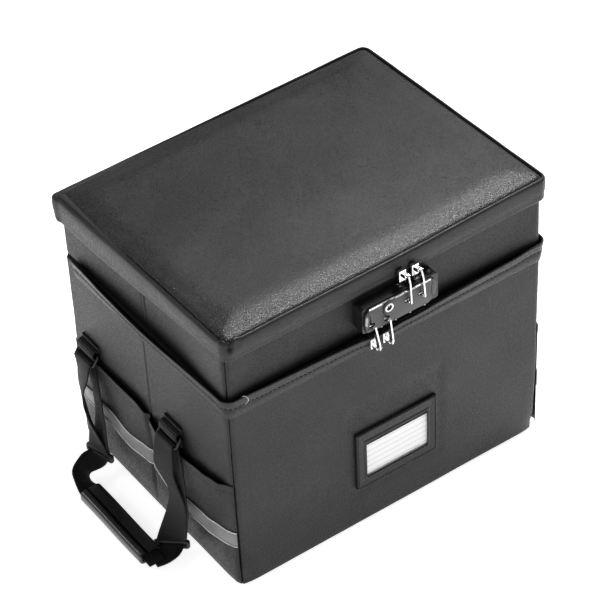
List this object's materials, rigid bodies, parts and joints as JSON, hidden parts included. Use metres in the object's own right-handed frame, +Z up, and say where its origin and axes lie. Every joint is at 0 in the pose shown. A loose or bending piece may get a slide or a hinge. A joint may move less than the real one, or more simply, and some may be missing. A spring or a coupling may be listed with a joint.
{
  "type": "fireproof document box",
  "caption": "Soft-sided fireproof document box: deep base, zipped tray and padded lid hinged at the rear, side handles, and a combination lock that holds the zip pulls.",
  "frame": {"origin": "centre of the flat underside of the base", "axes": "+Z up, +X to the right along the width, -Y towards the front face with the lock and the label"},
  "size_m": [0.524, 0.3236, 0.344],
  "materials": {
    "coated_fabric": "silicone-coated glass cloth, satin charcoal",
    "lining_fabric": "plain woven lining",
    "fibreboard": "matt stiffener board",
    "zip_tape": "woven tape",
    "reflective_tape": "grey reflective tape",
    "webbing": "ribbed polyester webbing",
    "grip_leather": "smooth black leatherette",
    "black_plastic": "fine moulded texture",
    "dark_metal": "black lacquered wire",
    "lock_grey": "semi-gloss grey lacquer",
    "chrome": "polished nickel plate",
    "steel": "plain steel",
    "clear_film": "clear flexible film",
    "card": "white index card with plain ruled lines"
  },
  "bodies": {
    "base": {"base_front_cover": "coated_fabric", "base_rear_cover": "coated_fabric", "base_left_cover": "coated_fabric", "base_right_cover": "coated_fabric", "base_bottom_cover": "coated_fabric", "base_end_boards": "fibreboard", "base_side_boards": "fibreboard", "base_lining": "lining_fabric", "mid_band": "coated_fabric", "lower_zip_tape": "zip_tape", "rear_hinge_strip": "coated_fabric", "label_holder": "coated_fabric", "label_window": "clear_film", "left_pocket": "coated_fabric", "right_pocket": "coated_fabric", "reflective_strips": "reflective_tape", "handle_tabs": "webbing"},
    "bottom_board": {"bottom_board": "fibreboard"},
    "index_card": {"index_card": "card"},
    "left_handle": {"left_handle_rings": "dark_metal", "left_handle_webbing": "webbing", "left_handle_buckles": "black_plastic", "left_handle_grip": "grip_leather"},
    "right_handle": {"right_handle_rings": "dark_metal", "right_handle_webbing": "webbing", "right_handle_buckles": "black_plastic", "right_handle_grip": "grip_leather"},
    "tray": {"tray_front_cover": "coated_fabric", "tray_rear_cover": "coated_fabric", "tray_left_cover": "coated_fabric", "tray_right_cover": "coated_fabric", "tray_boards": "fibreboard", "tray_floor": "coated_fabric", "tray_lining": "lining_fabric", "upper_zip_tape": "zip_tape", "lock_housing": "black_plastic", "lock_face_plate": "lock_grey", "lock_back_plate": "steel", "lock_screws": "steel", "dial_shaft": "steel", "button_spring": "steel"},
    "lid": {"lid_pad": "coated_fabric", "lid_rim": "coated_fabric", "lid_board": "fibreboard", "lid_lining": "lining_fabric"},
    "release_button": {"release_button": "black_plastic"},
    "catch_bar": {"catch_bar": "steel"},
    "key_plug": {"key_plug": "chrome"},
    "number_dial_1": {"number_dial_1": "black_plastic"},
    "number_dial_2": {"number_dial_2": "black_plastic"},
    "number_dial_3": {"number_dial_3": "black_plastic"},
    "upper_left_slider": {"upper_left_slider": "chrome"},
    "upper_left_pull": {"upper_left_pull": "chrome"},
    "upper_right_slider": {"upper_right_slider": "chrome"},
    "upper_right_pull": {"upper_right_pull": "chrome"},
    "lower_left_slider": {"lower_left_slider": "chrome"},
    "lower_left_pull": {"lower_left_pull": "chrome"},
    "lower_right_slider": {"lower_right_slider": "chrome"},
    "lower_right_pull": {"lower_right_pull": "chrome"}
  },
  "joints": [
    {"name": "tray_hinge", "type": "hinge", "parent": "base", "child": "tray", "pos_m": [0, 0.1495, 0.2575], "axis": [-1, 0, 0], "range_deg": [0, 100]},
    {"name": "lid_hinge", "type": "hinge", "parent": "tray", "child": "lid", "pos_m": [0, 0.151, 0.33], "axis": [-1, 0, 0], "range_deg": [0, 110]},
    {"name": "left_handle_swing", "type": "hinge", "parent": "base", "child": "left_handle", "pos_m": [-0.2005, 0, 0.151], "axis": [0, 1, 0], "range_deg": [0, 140]},
    {"name": "right_handle_swing", "type": "hinge", "parent": "base", "child": "right_handle", "pos_m": [0.2005, 0, 0.151], "axis": [0, -1, 0], "range_deg": [0, 140]},
    {"name": "board_lift", "type": "slide", "parent": "base", "child": "bottom_board", "axis": [0, 0, 1], "range_m": [0, 0.2]},
    {"name": "card_slide", "type": "slide", "parent": "base", "child": "index_card", "axis": [0, 0, 1], "range_m": [0, 0.06]},
    {"name": "dial_1_spin", "type": "hinge", "parent": "tray", "child": "number_dial_1", "pos_m": [0.0085, -0.1548, 0.3014], "axis": [1, 0, 0], "continuous": true},
    {"name": "dial_2_spin", "type": "hinge", "parent": "tray", "child": "number_dial_2", "pos_m": [0.019, -0.1548, 0.3014], "axis": [1, 0, 0], "continuous": true},
    {"name": "dial_3_spin", "type": "hinge", "parent": "tray", "child": "number_dial_3", "pos_m": [0.0295, -0.1548, 0.3014], "axis": [1, 0, 0], "continuous": true},
    {"name": "key_turn", "type": "hinge", "parent": "tray", "child": "key_plug", "pos_m": [-0.0124, -0.165, 0.298], "axis": [0, -1, 0], "range_deg": [0, 90]},
    {"name": "release_press", "type": "slide", "parent": "tray", "child": "release_button", "axis": [0, 0, -1], "range_m": [0, 0.002], "stiffness_N_per_m": 400, "deforming": ["button_spring"]},
    {"name": "catch_slide", "type": "slide", "parent": "tray", "child": "catch_bar", "axis": [1, 0, 0], "range_m": [0, 0.002]},
    {"name": "upper_left_slide", "type": "slide", "parent": "tray", "child": "upper_left_slider", "axis": [-1, 0, 0], "range_m": [0, 0.165]},
    {"name": "upper_left_pull_swing", "type": "hinge", "parent": "upper_left_slider", "child": "upper_left_pull", "pos_m": [0.0104, -0.1665, 0.326], "axis": [-1, 0, 0], "range_deg": [0, 150]},
    {"name": "upper_right_slide", "type": "slide", "parent": "tray", "child": "upper_right_slider", "axis": [1, 0, 0], "range_m": [0, 0.135]},
    {"name": "upper_right_pull_swing", "type": "hinge", "parent": "upper_right_slider", "child": "upper_right_pull", "pos_m": [0.0262, -0.1665, 0.326], "axis": [-1, 0, 0], "range_deg": [0, 150]},
    {"name": "lower_left_slide", "type": "slide", "parent": "base", "child": "lower_left_slider", "axis": [-1, 0, 0], "range_m": [0, 0.13]},
    {"name": "lower_left_pull_swing", "type": "hinge", "parent": "lower_left_slider", "child": "lower_left_pull", "pos_m": [-0.0262, -0.1665, 0.2516], "axis": [1, 0, 0], "range_deg": [0, 170]},
    {"name": "lower_right_slide", "type": "slide", "parent": "base", "child": "lower_right_slider", "axis": [1, 0, 0], "range_m": [0, 0.155]},
    {"name": "lower_right_pull_swing", "type": "hinge", "parent": "lower_right_slider", "child": "lower_right_pull", "pos_m": [-0.0106, -0.1665, 0.2516], "axis": [1, 0, 0], "range_deg": [0, 170]}
  ],
  "couplings": [
    {"joint": "catch_slide", "follows": "release_press", "ratio": 1}
  ]
}
